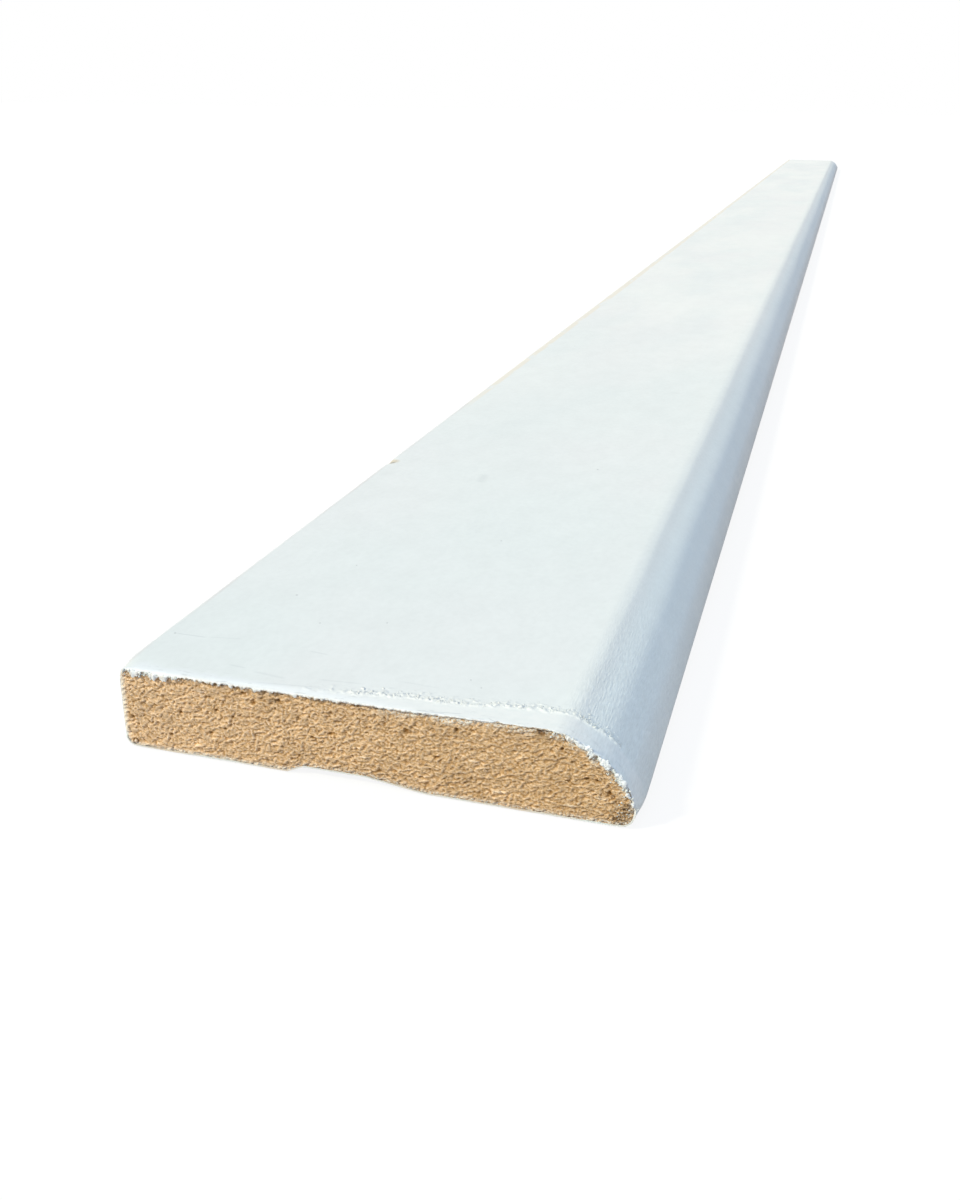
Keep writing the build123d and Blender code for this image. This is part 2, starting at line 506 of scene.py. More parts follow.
def make_sawn_end(name, end_y, facing, steps, seed, material, marked):
    """A bare sawn end: its relief, and a rim that runs back under the coat. facing is the sign
    of its outward normal along Y, and steps are the grid's, across and up."""
    height, tone = fibre_relief(seed)
    rounded = RELIEF_GAIN * softened(height, 9)
    height = RELIEF_GAIN * softened(height, 3)
    x, z, from_edge, from_top = section_end(*steps, COAT_THICKNESS)
    lift = sampled(height, x, z)
    # Towards the square edge the relief is rubbed away.
    quiet = np.clip((x + HALF_WIDTH - 0.1) / 1.1, 0.3, 1)
    calm = np.clip((x + HALF_WIDTH) / 0.9, 0.1, 1)
    # The cavity value is the relief's height over its blurred self; the material paints shade into its
    # hollows and light onto its crests.
    cavity = (lift - sampled(rounded, x, z)) * quiet + 0.04 * (1 - quiet)
    shade = sampled(tone, x, z) * quiet
    # Here and there the saw picked a few fibres out, and painted shade darkens those small hollows.
    picked = ramp(rough_noise(x / 0.55, z / 0.38, 0.0, seed + 27), 0.2, 0.75) * quiet
    lift = lift - 0.06 * picked
    cavity = cavity - 0.11 * picked
    swell = 0.09 * rough_noise(x / 7.0, z / 4.0, 0.0, seed + 5)
    depth = 0.4 * calm - lift * calm - swell
    near_edge = np.clip(1 - from_edge / EDGE_ROUND, 0, 1)
    depth = depth + EDGE_ROUND * (1 - np.sqrt(1 - near_edge**2)) * (0.28 + 0.52 * ramp(z, 0.6, 2.0))
    stain, pressed, rubbed = np.zeros_like(x), np.zeros_like(x), (0.0, 0.0)
    if marked:
        depth, cavity, stain = near_marks(x, z, depth, cavity, seed)
        pressed, rubbed = bruise(x, z, 0.0), corner_wear(x, z, 0.0)
    seam, frost = under_coat(x, z, from_edge, from_top, seed, marked)
    depth = np.maximum(depth + SEAM_HOLLOW * seam, -0.15)
    rows, columns = x.shape
    vertices = np.stack(
        [x - pressed + rubbed[0], end_y - facing * depth, z + BRUISE_LIFT * pressed + rubbed[1]], axis=-1
    ).reshape(-1, 3)
    faces = [grid_faces(rows, columns, flip=facing > 0)]

    # The rim follows the grid's outer loop: up the left side, along the top, down the tip and
    # back along the bottom.
    index = np.arange(rows * columns).reshape(rows, columns)
    loop = np.concatenate([index[:, 0], index[-1, 1:], index[-2::-1, -1], index[0, -2:0:-1]])
    inner = loop
    for k in range(len(RIM_STEPS)):
        outer = np.arange(len(loop)) + len(vertices) + k * len(loop)
        a, b = inner, np.roll(inner, -1)
        c, d = np.roll(outer, -1), outer
        faces.append(np.stack([a, b, c, d] if facing > 0 else [a, d, c, b], axis=-1))
        inner = outer
    vertices = np.concatenate([vertices] + rim_rows(vertices[loop], pressed.reshape(-1)[loop], end_y, facing))

    attributes = {}
    fields = {"cavity": cavity, "tone": shade, "stain": stain, "frost": frost, "seam": seam}
    for key, field in fields.items():
        flat = field.reshape(-1)
        attributes[key] = np.concatenate([flat] + [flat[loop]] * len(RIM_STEPS))
    make_piece(name, vertices, np.concatenate(faces), material, "raw_mdf", attributes)
    return x, z, depth


# The coat's edge at the near end: distance from the square edge, and set-back from the cut.
LIP = (
    (0.0, 0.32), (0.8, 0.15), (1.6, 0.0), (3.0, 0.0), (58.0, 0.0), (62.5, 0.1), (66.0, 0.2), (69.8, 0.3),
    (70.6, 0.9), (71.4, 0.4), (76.0, 0.5), (79.0, 0.6), (80.8, 0.1), (87.0, 0.05), (88.0, 0.3),
    (89.2, 0.1), (90.6, 0.45), (92.0, 0.2), (93.2, 0.5), (93.9, 0.3), (95.0, 0.1),
)

# Where the saw dragged the coat over the cut, it hangs down the sawn face: distance from the
# square edge, and how far down it hangs.
HANG = (
    (0.4, 0.0), (1.4, 0.15), (2.6, 0.95), (4.5, 1.4), (6.5, 1.3), (9.0, 0.95), (13.7, 0.62), (20.4, 0.52),
    (28.0, 0.42), (35.5, 0.33), (44.7, 0.25), (53.7, 0.2), (62.5, 0.2), (69.8, 0.15), (70.6, 0.02),
    (71.4, 0.15), (76.0, 0.1), (78.8, 0.04), (80.8, 0.12), (82.8, 0.45), (84.9, 0.65), (86.9, 0.8),
    (88.0, 0.3), (89.4, 0.6), (90.4, 0.2), (91.8, 0.7), (93.0, 0.3), (93.9, 0.5), (95.0, 0.1),
)

# The ragged ridge where the outer coat stops: distance from the square edge, and distance back
# from the cut. Before it the thin under-coat shows as a smooth band.
RIDGE = (
    (14.0, 0.0), (27.5, 1.15), (45.5, 2.8), (52.2, 4.1), (57.6, 4.3), (62.9, 4.5), (67.9, 5.3), (72.9, 6.1),
    (76.2, 6.7), (80.6, 6.6), (83.0, 6.8), (85.5, 6.6), (87.8, 7.2), (90.8, 7.3), (95.0, 6.5),
)
# How far the band of under-coat lies below the outer coat, and where it starts and ends, by the
# distance from the square edge.
UNDER_COAT_DROP = 0.07
BAND_START = (14.0, 24.0)
BAND_FADE = (87.5, 91.0)
RIDGE_HEIGHT = 0.21
HIGHEST_CRUMB = 0.4
RIDGE_WIDTH = 0.68
SPRINKLE_HEIGHT = 0.16
# The skin's own unevenness, the angles in degrees from which its edges and the coat edge's show
# sharp, and the longest gap between its rows.
SKIN_WAVE = 0.025
SKIN_SHARP_ANGLE, EDGE_SHARP_ANGLE = 40, 48
LONGEST_ROW_STEP = 60.0


def from_square_edge(points):
    """How far each point (x, z) of the face or nose is from the square edge, across the board."""
    return points[..., 0] + HALF_WIDTH


def ridge_line(across):
    """How far back from the cut the ridge lies, wandering a little."""
    wander = 0.3 * rough_noise(across / 2.6, 0.0, 0.0, 31) + 0.14 * smooth_noise(across / 0.7, 0.0, 0.0, 35)
    return from_table(RIDGE, across) + wander * ramp(across, 20.0, 40.0)


def hang_at(across):
    """How far the coat hangs down the sawn face, ragged."""
    fine = 0.2 + 0.3 * ramp(across, 8.0, 14.0)
    ragged = 0.85 + 0.9 * smooth_noise(across / 0.75, 0.0, 0.0, 37)
    ragged = ragged + fine * smooth_noise(across / 0.27, 0.0, 0.0, 39)
    return from_table(HANG, across) * np.clip(ragged, 0.12, 2.0)


def lip_roughness(across, up):
    """How raggedly the coat's edge lies, more so on the nose. up is the height above the back."""
    nose = ramp(across, 77.0, 83.0)
    return (0.08 + 0.2 * nose) * rough_noise(across / (0.9 - 0.3 * nose), up / 0.9, 0.0, 41)


def on_upper_side(points, normals):
    """Which points of the section belong to the square edge, the face or the nose."""
    return (normals[:, 1] > -0.2) & (points[:, 1] > THICKNESS * 0.12)


def coat_lip(points, normals):
    """The coat's set-back from the near cut at each point of the section."""
    across = from_square_edge(points)
    rough = lip_roughness(across, points[:, 1]) * ramp(across, 0.2, 1.2)
    plain = 0.02 + 0.07 * rough_noise(points[:, 0] / 1.4, points[:, 1] / 1.4, 0.0, 43)
    return np.where(on_upper_side(points, normals), from_table(LIP, across) + rough, plain)


DIP, DIP_LENGTH = 0.14, 1.1


def dip(across, from_lip):
    """How far the coat bends down towards the cut, by the distance back from its lip."""
    kept = ramp(across, 1.0, 3.0) * (1 - ramp(across, 45.0, 62.0))
    return DIP * kept * (1 - np.clip(from_lip / DIP_LENGTH, 0, 1)) ** 2


def length_rows():
    """Where the skin's rows lie, as distance back from the near cut: close together at the ends
    and round the chip on the arris."""
    rows = [0.0]
    step = 0.2
    while rows[-1] < 9.0:
        rows.append(rows[-1] + step)
    while rows[-1] < LENGTH / 2:
        step = min(step * 1.14, LONGEST_ROW_STEP)
        rows.append(rows[-1] + step)
    back = [0.0]
    step = 0.5
    while back[-1] < LENGTH / 2:
        back.append(back[-1] + step)
        step = min(step * 1.4, LONGEST_ROW_STEP)
    chip = np.arange(CHIP_ALONG - 5.0, CHIP_ALONG + 5.0, 0.5)
    rows = np.unique(np.round(np.concatenate([rows, chip, LENGTH - np.array(back)]), 3))
    return rows[np.concatenate([[True], np.diff(rows) > 0.12])]


CHIP_ALONG = 139.0
CHIP_LENGTH = 2.6
CHIP_DEPTH = 0.5


def make_primed_skin(material):
    """The primed face, edges and back, from the lip at the near cut to the lip at the far one."""
    top, top_normals = joined(top_chain(0.26, 0.8))
    low, low_normals = joined(bottom_chain(0.5, 2.0))
    points = np.concatenate([top, low[1:-1]])
    normals = np.concatenate([top_normals, low_normals[1:-1]])
    across = from_square_edge(points)
    lip = coat_lip(points, normals)
    far_lip = 0.15 + 0.15 * rough_noise(points[:, 0] / 1.2, points[:, 1] / 1.2, 0.0, 47)

    s = length_rows()[:, None]
    from_far = LENGTH - s
    shifted = s + lip * (1 - ramp(s, 0.0, 6.0)) - far_lip * (1 - ramp(from_far, 0.0, 6.0))
    upper = on_upper_side(points, normals)
    ridge = ridge_line(across)
    behind = shifted - ridge
    drawn = ramp(across, *BAND_START) * upper
    band = drawn * (1 - ramp(behind, -0.8, 0.1)) * (ridge > 0.05)
    lumps = rough_noise(points[:, 0] / 0.5, shifted / 0.6, points[:, 1] / 0.5, 53)
    grains = np.clip(lumps * 3.0 - 0.05, 0, 1)
    strong = drawn * ramp(across, 28.0, 50.0) * (1 - ramp(across, 88.5, 92.0))
    crust = strong * np.exp(-(((behind - 0.1) / RIDGE_WIDTH) ** 2)) * grains * RIDGE_HEIGHT
    sprinkle = strong * ramp(behind, 0.0, 0.4) * (1 - ramp(behind, 1.4, 3.4))
    crust = crust + SPRINKLE_HEIGHT * sprinkle * np.clip(lumps * 2.4 - 0.4, 0, 1)

    out = -UNDER_COAT_DROP * band * (1 - ramp(across, *BAND_FADE)) + crust
    out = out + nose_flats(points, shifted)
    out = out + SKIN_WAVE * rough_noise(points[:, 0] / 55.0, shifted / 90.0, 0.0, 59)
    out = out - dip(across, shifted - lip) * upper
    edge_curl = (1 - ramp(shifted - lip, 0.0, 0.7)) * upper
    curl = 0.12 * rough_noise(across / 2.2, 0.0, 3.3, 61)
    out = np.minimum(out + edge_curl * (curl - 0.03), HIGHEST_CRUMB)

    # The chip on the long arris.
    on_arris = np.exp(-(((across - 0.6) / 1.0) ** 2)) * (points[:, 1] > THICKNESS * 0.8)
    chip = np.exp(-(((shifted - CHIP_ALONG) / CHIP_LENGTH) ** 2)) * on_arris
    out = out - CHIP_DEPTH * chip * (0.75 + 0.25 * rough_noise(across * 1.5, shifted * 1.5, 0.0, 67))

    x, z = worn(points, normals, out, shifted)
    sheet = np.stack(np.broadcast_arrays(x, NEAR_Y + shifted, np.maximum(z, 0.0)), axis=-1)

    # The coat's cut thickness, folded in at both ends. Each fold takes its end row's attributes.
    fold = COAT_FOLD * np.stack([normals[:, 0], 0 * across, normals[:, 1]], axis=-1)
    sheet = np.concatenate([sheet[:1] - fold, sheet, sheet[-1:] - fold])
    # Painted light: the fringe by the cut is lightened, where the coat bends down towards the light.
    reach = 2.6 + 1.3 * rough_noise(across / 3.0, 0.0, 0.0, 73)
    fringe = (1 - ramp(shifted, 0.3 * reach, 1.3 * reach)) * upper
    fringe = fringe * ramp(across, 1.0, 4.0) * (1 - ramp(across, 40.0, 60.0))
    # The grain value greys the ridge's crumbs with painted shade.
    grain = np.clip(crust / RIDGE_HEIGHT, 0, 1)
    fields = {"band": band, "crust": crust, "grain": grain, "flake_light": 0.6 * fringe}
    attributes = {key: np.concatenate([field[:1], field, field[-1:]]) for key, field in fields.items()}
    faces = grid_faces(len(sheet), len(points), closed=True)
    piece = make_piece(
        "primed_surface", sheet.reshape(-1, 3), faces, material, "white_primer", attributes, SKIN_SHARP_ANGLE
    )
    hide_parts(NODE)


EDGE_STEP = 0.12


def make_coat_edge(material):
    """The coat's torn edge at the near end: a thick ragged roll along the upper outline that
    laps over the cut and hangs down it."""
    points, normals = joined(top_chain(EDGE_STEP, 0.8))
    across = from_square_edge(points)
    kept = (across > 0.45) & (points[:, 1] > 5.0)
    points, normals, across = points[kept], normals[kept], across[kept]
    path = np.concatenate([[0.0], np.cumsum(np.linalg.norm(np.diff(points, axis=0), axis=1))])
    lip = from_table(LIP, across) + lip_roughness(across, points[:, 1])
    hang = hang_at(across)
    stand = 0.05 + 0.22 * hang + 0.08 * smooth_noise(path / 0.5, 0.0, 0.0, 83)
    thin = 0.12 + 0.05 * smooth_noise(path / 0.8, 1.0, 0.0, 85)
    level = -UNDER_COAT_DROP * ramp(across, *BAND_START) * (1 - ramp(across, *BAND_FADE))
    # Each row is a point of the roll's section: outwards from the board, back from the cut, and
    # how much of the board shows through the torn coat there.
    shape = [
        (level - 0.12, lip + 1.1, 0.0),
        (level - 0.02, lip + 0.6, 0.0),
        (level + 0.02, lip + 0.2, 0.0),
        (level - 0.02, lip - 0.04, 0.15),
        (-0.1 - 0.2 * hang, lip - 0.06 - stand, 0.5),
        (-0.1 - 0.65 * hang, lip - 0.08 - stand, 0.85),
        (-0.12 - 0.97 * hang, lip - 0.06 - 0.85 * stand, 1.0),
        (-0.14 - hang, lip + 0.1, 1.0),
        (-0.1 - 0.5 * hang, lip + 0.25, 1.0),
        (level - thin - 0.05, lip + 0.6, 0.5),
        (level - thin - 0.1, lip + 1.1, 0.0),
    ]
    rows = []
    for k, (out, back, _) in enumerate(shape):
        rough = 0.05 * smooth_noise(path / 0.33, k * 0.7, 0.0, 87) if 2 < k < 8 else 0.0
        rolled = out + rough - dip(across, back - lip) + nose_flats(points, back)
        x, z = worn(points, normals, rolled, np.maximum(back, 0))
        rows.append(np.stack([x, NEAR_Y + back + rough, z], axis=-1))
    sheet = np.stack(rows, axis=1)
    count, around = sheet.shape[:2]
    faces = grid_faces(count, around, closed=True, flip=True).tolist()
    faces.append(list(range(around)))
    faces.append([k + (count - 1) * around for k in range(around)][::-1])
    torn = np.tile([shows for _, _, shows in shape], count)
    # By the square edge less of the board shows through the torn coat, and more painted light lightens it;
    # further along, a little painted shade greys it.
    whiter = np.repeat(1 - ramp(across, 8.0, 14.0), around)
    # Its band value gives the whole roll the band's painted light.
    attributes = {
        "band": np.ones(count * around), "grain": 0.2 * (1 - whiter),
        "torn": torn * (1 - 0.5 * whiter), "flake_light": 0.5 + 0.4 * whiter,
    }
    make_piece(
        "coat_edge", sheet.reshape(-1, 3), faces, material, "white_primer", attributes, EDGE_SHARP_ANGLE
    )


LUMP_RINGS = 9
LUMP_SIDES = 12


def lump(centre, size, turn, seed):
    """A small irregular grain: vertices and faces, in millimetres."""
    polar = np.linspace(0, math.pi, LUMP_RINGS)[1:-1, None]
    around = np.linspace(0, 2 * math.pi, LUMP_SIDES, endpoint=False)[None]
    unit = np.stack(
        [np.sin(polar) * np.cos(around), np.sin(polar) * np.sin(around), np.cos(polar) + 0 * around], axis=-1
    ).reshape(-1, 3)
    unit = np.concatenate([unit, [[0, 0, 1], [0, 0, -1]]])
    swell = 1 + 0.45 * smooth_noise(unit[:, 0] * 1.9 + seed, unit[:, 1] * 1.9, unit[:, 2] * 1.9, seed)
    swell = swell + 0.3 * smooth_noise(unit[:, 0] * 3.7, unit[:, 1] * 3.7 + seed, unit[:, 2] * 3.7, seed + 1)
    local = unit * swell[:, None] * np.array(size)
    vertices = np.array(centre) + local @ turn.T
    rings = LUMP_RINGS - 2
    faces = grid_faces(rings, LUMP_SIDES, closed=True, flip=True).tolist()
    top, bottom = rings * LUMP_SIDES, rings * LUMP_SIDES + 1
    for k in range(LUMP_SIDES):
        after = (k + 1) % LUMP_SIDES
        faces.append([top, k, after])
        last = (rings - 1) * LUMP_SIDES
        faces.append([bottom, last + after, last + k])
    return vertices, faces


def random_turn(picks):
    """A random rotation."""
    q = picks.normal(size=4)
    q /= np.linalg.norm(q)
    w, a, b, c = q
    return np.array([
        [1 - 2 * (b * b + c * c), 2 * (a * b - c * w), 2 * (a * c + b * w)],
        [2 * (a * b + c * w), 1 - 2 * (a * a + c * c), 2 * (b * c - a * w)],
        [2 * (a * c - b * w), 2 * (b * c + a * w), 1 - 2 * (a * a + b * b)],
    ])


def merged(parts):
    """Several (vertices, faces) as one."""
    vertices, faces, start = [], [], 0
    for v, f in parts:
        vertices.append(v)
        faces += [[i + start for i in face] for face in f]
        start += len(v)
    return np.concatenate(vertices), faces


def nose_point(across):
    """The point and outward normal of the upper outline at a distance from the square edge."""
    points, normals = joined(top_chain(0.1, 0.5))
    order = from_square_edge(points)
    k = int(np.argmin(np.abs(order - across) + (points[:, 1] < 2.0) * 50))
    return points[k], normals[k]


# The larger chips of primer on the nose's outline: distance from the square edge, height above
# the back, half length along the outline and half height across it.
NOSE_CHIPS = (
    (84.8, 14.3, 1.3, 0.4), (86.1, 13.65, 0.75, 0.5), (86.4, 12.9, 0.5, 0.36), (88.3, 12.1, 0.9, 0.6),
    (88.9, 11.4, 1.0, 0.75), (91.2, 9.4, 0.9, 0.6), (91.7, 8.3, 0.95, 0.68), (92.9, 6.3, 0.5, 0.35),
    (93.7, 4.6, 0.5, 0.3),
)
CHIPS_SEED = 808
OUTLINE_CRUMBS, TIP_CRUMBS, SQUARE_END_CRUMBS, RIDGE_CRUMBS = 160, 26, 100, 480


def outline_turn(normal):
    """The rotation that lays a grain's first axis along the outline and its third across it."""
    tangent = np.array([normal[1], -normal[0]])
    return np.array([[tangent[0], 0, normal[0]], [0, 1, 0], [tangent[1], 0, normal[1]]])


def crumb(picks, place, grain, shape):
    """A crumb of primer, turned at random. shape is its half size on each axis, in grains."""
    size = [grain * part for part in shape]
    return lump(place, size, random_turn(picks), int(picks.integers(1000)))


def make_primer_chips(material):
    """Chips and crumbs of primer: those on the nose's outline, those by the heel's tip, those
    along the square edge's end of the cut, and those of the ridge."""
    picks = np.random.default_rng(CHIPS_SEED)
    parts = []
    for across, up, long, high in NOSE_CHIPS:
        _, normal = nose_point(across)
        turn = outline_turn(normal)
        tangent = np.array([normal[1], -normal[0]])
        for k in range(3):
            shift = (k - 1) * 0.5 * long + picks.normal(0, 0.1)
            middle = np.array([across - HALF_WIDTH, up]) + shift * tangent
            middle = middle + picks.normal(0, 0.2) * high * normal
            place = (middle[0], NEAR_Y - 0.1 - picks.uniform(0.0, 0.12), middle[1])
            whole = 0.85 if k == 1 else 0.4
            size = (long * whole * picks.uniform(0.9, 1.1), 0.14, high * (0.5 + 0.5 * whole))
            parts.append(lump(place, size, turn, int(picks.integers(1000))))
    bright = sum(len(v) for v, _ in parts)
    for _ in range(OUTLINE_CRUMBS):
        point, normal = nose_point(79.3 + 15.4 * picks.beta(1.3, 1.05))
        centre = point - normal * abs(picks.normal(0.1, 0.6))
        place = (centre[0], NEAR_Y + picks.uniform(-0.05, 0.2), centre[1])
        grain = 0.07 * math.exp(picks.normal(0.2, 0.45))
        parts.append(crumb(picks, place, grain, (1.5, 1, 0.8)))
    for _ in range(TIP_CRUMBS):
        across, up = picks.uniform(91.0, 94.2), picks.uniform(0.7, 5.0)
        point, _ = nose_point(across)
        if up > point[1] - 0.4:
            continue
        grain = 0.06 * math.exp(picks.normal(0.1, 0.4))
        place = (across - HALF_WIDTH - 0.5, NEAR_Y + picks.uniform(0.05, 0.25), up)
        parts.append(crumb(picks, place, grain, (1.6, 1, 0.8)))
    for _ in range(SQUARE_END_CRUMBS):
        across = 0.9 + 12.0 * picks.beta(1.2, 1.8)
        grain = 0.07 * math.exp(picks.normal(0.3, 0.4))
        up = THICKNESS - 0.25 - 1.5 * picks.beta(1.0, 1.6) * (1 - 0.5 * across / 13.0)
        place = (across - HALF_WIDTH, NEAR_Y + picks.uniform(-0.2, 0.0), up)
        parts.append(crumb(picks, place, grain, (1.7, 1, 1)))
    for _ in range(RIDGE_CRUMBS):
        across = picks.uniform(43.0, 90.0)
        point, normal = nose_point(across)
        back = float(ridge_line(np.array([across]))[0]) + abs(picks.normal(0.0, 0.95)) - 0.15
        grain = 0.075 * math.exp(picks.normal(0.2, 0.45))
        place = (point[0] - normal[0] * grain * 0.2, NEAR_Y + back, point[1] - normal[1] * grain * 0.2)
        parts.append(crumb(picks, place, grain, (1.4, 1.2, 0.85)))
    vertices, faces = merged(parts)
    vertices[:, 2] = np.minimum(vertices[:, 2], THICKNESS + HIGHEST_CRUMB)
    # The large chips take painted light, and the crumbs a little painted shade.
    large = np.arange(len(vertices)) < bright
    attributes = {"crust": 0.1 + 0.3 * large, "grain": 0.8 * ~large, "flake_light": 1.0 * large}
    make_piece("primer_chips", vertices, faces, material, "white_primer", attributes)


FIBRE_SIDES = 5


def fibre(start, direction, length, radius, droop):
    """A thin tapered fibre that bends as it goes."""
    steps = 5
    t = np.linspace(0, 1, steps)
    direction = np.array(direction) / np.linalg.norm(direction)
    side = np.cross(direction, (0.3, 0.2, 0.9))
    side /= np.linalg.norm(side)
    up = np.cross(direction, side)
    centre = np.array(start) + direction * (t * length)[:, None] + up * (droop * t**2)[:, None]
    angle = np.linspace(0, 2 * math.pi, FIBRE_SIDES, endpoint=False)
    circle = np.cos(angle)[:, None] * side + np.sin(angle)[:, None] * up
    wide = radius * (1 - 0.75 * np.abs(2 * t - 1) ** 2)
    vertices = (centre[:, None] + wide[:, None, None] * circle[None]).reshape(-1, 3)
    faces = grid_faces(steps, FIBRE_SIDES, closed=True).tolist()
    faces.append(list(range(FIBRE_SIDES))[::-1])
    faces.append([k + (steps - 1) * FIBRE_SIDES for k in range(FIBRE_SIDES)])
    return vertices, faces


def make_loose_fibres(name, end_y, facing, relief, count, seed, material):
    """Fibres that the saw tore loose, lying on the sawn end or standing a little off it."""
    picks = np.random.default_rng(seed)
    x, z, depth = relief
    rows, columns = x.shape
    parts = []
    for _ in range(count):
        r, c = int(picks.integers(4, rows - 4)), int(picks.integers(6, columns - 30))
        start = (x[r, c], end_y - facing * (depth[r, c] + 0.02), z[r, c])
        lean = math.radians(picks.normal(4, 22))
        sign = picks.choice((-1, 1))
        direction = (sign * math.cos(lean), facing * picks.uniform(0.02, 0.3), sign * math.sin(lean))
        length = 0.55 * math.exp(picks.normal(0.1, 0.45))
        radius = picks.uniform(0.022, 0.05)
        vertices, faces = fibre(start, direction, length, radius, picks.normal(0, 0.12))
        if vertices[:, 2].min() > 0.3 and vertices[:, 2].max() < THICKNESS - 0.3:
            parts.append((vertices, faces))
    vertices, faces = merged(parts)
    even = np.ones(len(vertices))
    make_piece(name, vertices, faces, material, "raw_mdf", {"cavity": 0.12 * even, "tone": 1.2 * even})


class Nodes:
    """Short calls for building the node tree of a material or of the world."""

    def __init__(self, owner, output=None):
        """With output, the tree starts empty, but for an output node of that kind."""
        owner.use_nodes = True
        self.tree = owner.node_tree
        if output is not None:
            self.tree.nodes.clear()
            self.surface = self.add(output).inputs["Surface"]
            return
        self.shader = self.tree.nodes["Principled BSDF"].inputs
        self.coordinates = self.add("ShaderNodeTexCoord").outputs["Object"]
        axes = self.add("ShaderNodeSeparateXYZ")
        self.link(self.coordinates, axes.inputs[0])
        self.x, self.y, self.z = axes.outputs

    def add(self, kind, **settings):
        node = self.tree.nodes.new(kind)
        for key, value in settings.items():
            setattr(node, key, value)
        return node

    def link(self, source, target):
        self.tree.links.new(source, target)

    def feed(self, socket, value):
        """Sets a socket, or links it where the value is another socket."""
        if isinstance(value, bpy.types.NodeSocket):
            self.link(value, socket)
        else:
            socket.default_value = value

    def math(self, operation, first, second=0.0, clamp=False):
        node = self.add("ShaderNodeMath", operation=operation, use_clamp=clamp)
        self.feed(node.inputs[0], first)
        self.feed(node.inputs[1], second)
        return node.outputs[0]

    def times(self, first, *others, clamp=False):
        """Several values multiplied."""
        for other in others:
            first = self.math("MULTIPLY", first, other, clamp)
        return first

    def place(self, scale):
        """The place in the board's own frame, each axis scaled, for a texture's vector."""
        mapping = self.add("ShaderNodeMapping")
        mapping.inputs["Scale"].default_value = scale
        self.link(self.coordinates, mapping.inputs["Vector"])
        return mapping.outputs["Vector"]

    def noise(self, scale, detail=2.0, roughness=0.5):
        """Noise, with features about 1/scale metres across on each axis."""
        node = self.add("ShaderNodeTexNoise")
        node.inputs["Scale"].default_value = 1.0
        node.inputs["Detail"].default_value = detail
        node.inputs["Roughness"].default_value = roughness
        self.link(self.place(scale), node.inputs["Vector"])
        return node.outputs["Fac"]

    def between(self, value, low, high, out_low=0.0, out_high=1.0):
        node = self.add("ShaderNodeMapRange", clamp=True)
        for key, number in (("From Min", low), ("From Max", high), ("To Min", out_low), ("To Max", out_high)):
            node.inputs[key].default_value = number
        self.link(value, node.inputs["Value"])
        return node.outputs["Result"]

    def span(self, value, low, high, out_low=0.0, out_high=1.0):
        """A value in metres, turned into a range between two limits in millimetres."""
        return self.between(value, low * METRE, high * METRE, out_low, out_high)

    def from_cut(self, low, high, out_low=0.0, out_high=1.0):
        """A range between two distances back from the near cut."""
        return self.span(self.y, NEAR_Y + low, NEAR_Y + high, out_low, out_high)

    def from_square(self, low, high, out_low=0.0, out_high=1.0):
        """A range between two distances across the board from its square edge."""
        return self.span(self.x, low - HALF_WIDTH, high - HALF_WIDTH, out_low, out_high)

    def to_tip(self, far, near, out_far=0.0, out_near=1.0):
        """A range between two distances across the board from its rounded edge."""
        return self.span(self.x, HALF_WIDTH - far, HALF_WIDTH - near, out_far, out_near)

    def below_face(self, deep, shallow):
        """0 below one depth under the face, and 1 above the other."""
        return self.span(self.z, THICKNESS - deep, THICKNESS - shallow)

    def attribute(self, name):
        return self.add("ShaderNodeAttribute", attribute_name=name).outputs["Fac"]

    def mix(self, factor, first, second):
        """One colour over another by a factor."""
        node = self.add("ShaderNodeMix", data_type="RGBA")
        self.feed(node.inputs["Factor"], factor)
        self.feed(node.inputs["A"], first)
        self.feed(node.inputs["B"], second)
        return node.outputs["Result"]

    def tinted(self, colour, factor):
        """A colour made lighter or darker by a factor."""
        node = self.add("ShaderNodeVectorMath", operation="SCALE")
        self.feed(node.inputs[0], colour)
        self.feed(node.inputs["Scale"], factor)
        return node.outputs["Vector"]

    def multiplied(self, colour, other):
        """Two colours multiplied."""
        node = self.add("ShaderNodeVectorMath", operation="MULTIPLY")
        self.feed(node.inputs[0], colour)
        self.feed(node.inputs[1], other)
        return node.outputs["Vector"]

    def bump(self, height, distance, strength=1.0, below=None):
        node = self.add("ShaderNodeBump")
        node.inputs["Distance"].default_value = distance * METRE
        node.inputs["Strength"].default_value = strength
        self.link(height, node.inputs["Height"])
        if below is not None:
            self.link(below, node.inputs["Normal"])
        return node.outputs["Normal"]

    def plain(self, kind, colour):
        """A shader node of one colour."""
        node = self.add(kind)
        node.inputs["Color"].default_value = colour
        return node

    def show(self, hidden, shown):
        """Puts shown on what the camera sees, straight or in a reflection or through glass, and
        hidden on all else."""
        path = self.add("ShaderNodeLightPath").outputs
        direct = self.math("MAXIMUM", path["Is Camera Ray"], path["Is Glossy Ray"])
        direct = self.math("MAXIMUM", direct, path["Is Transmission Ray"])
        mixed = self.add("ShaderNodeMixShader")
        self.link(direct, mixed.inputs["Fac"])
        self.link(hidden.outputs[0], mixed.inputs[1])
        self.link(shown.outputs[0], mixed.inputs[2])
        self.link(mixed.outputs[0], self.surface)


